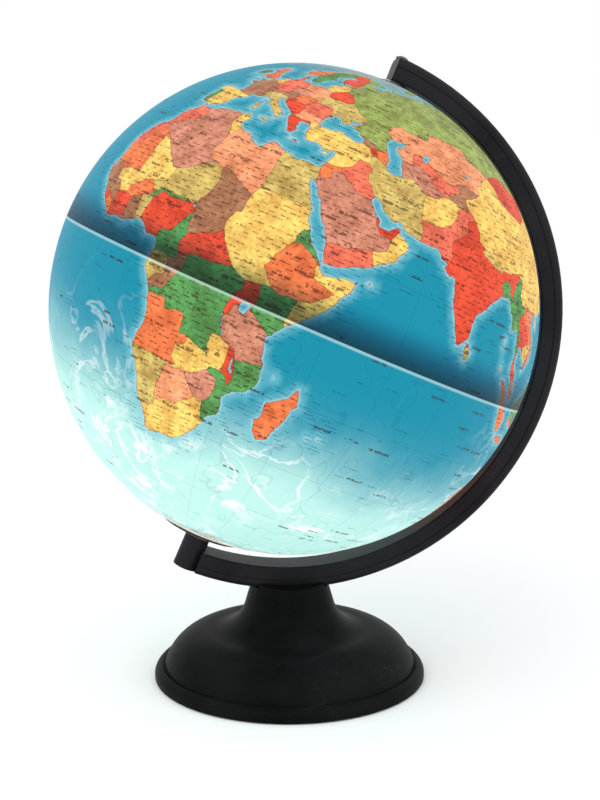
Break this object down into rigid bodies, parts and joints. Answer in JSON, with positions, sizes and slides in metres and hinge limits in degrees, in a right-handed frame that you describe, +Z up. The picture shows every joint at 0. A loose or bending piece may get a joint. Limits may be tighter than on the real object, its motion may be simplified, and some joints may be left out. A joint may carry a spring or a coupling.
{
  "type": "desktop globe",
  "caption": "Illuminated desktop globe: a map ball that spins on a tilted curved arm, with a lamp inside, on a round weighted base.",
  "frame": {"origin": "on the surface the globe stands on, at the middle of the base", "axes": "+Z up, +X towards the back of the curved arm (the south pole end is on the -X side), the arm lies in the XZ plane"},
  "size_m": [0.319, 0.3, 0.3892],
  "materials": {
    "ball_plastic": "satin printed map, lit from inside",
    "arm_plastic": "satin black",
    "black_plastic": "satin black, fine texture",
    "white_plastic": "plain moulded",
    "ceramic": "glazed",
    "steel": "zinc plated",
    "brass": "bright",
    "rubber": "matt",
    "glass": "clear"
  },
  "bodies": {
    "stand": {"arm_cover_strip": "arm_plastic", "arm_screws": "steel", "ballast_ring": "steel", "ballast_screws": "steel", "base_shell": "black_plastic", "bearing_plate": "white_plastic", "bottom_cover": "black_plastic", "bulb_cap": "brass", "bulb_glass": "glass", "bulb_insulator": "ceramic", "bulb_tip": "brass", "cable_inlet": "rubber", "centre_contact": "brass", "cord_clamp_bar": "black_plastic", "cord_clamp_base": "black_plastic", "cord_clamp_screws": "steel", "cover_screws": "steel", "filament": "steel", "filament_stem": "glass", "foot_ring": "rubber", "lamp_lead": "rubber", "lamp_tube": "steel", "lampholder_body": "white_plastic", "lampholder_insert": "ceramic", "lampholder_ring": "white_plastic", "meridian_arm": "arm_plastic", "north_pin": "steel", "north_washer": "white_plastic", "pole_plug": "black_plastic", "terminal_block": "white_plastic", "terminal_screws": "brass", "threaded_contact": "brass", "tube_nut": "steel"},
    "globe": {"north_hemisphere": "ball_plastic", "south_hemisphere": "ball_plastic", "equator_joint_ring": "white_plastic", "north_bush": "black_plastic", "north_bush_clip": "steel", "south_collar": "black_plastic", "collar_lock_ring": "white_plastic"}
  },
  "joints": [
    {"name": "globe_spin", "type": "hinge", "parent": "stand", "child": "globe", "pos_m": [0.0032, 0, 0.23364], "axis": [0.3987, 0, 0.9171], "continuous": true}
  ]
}
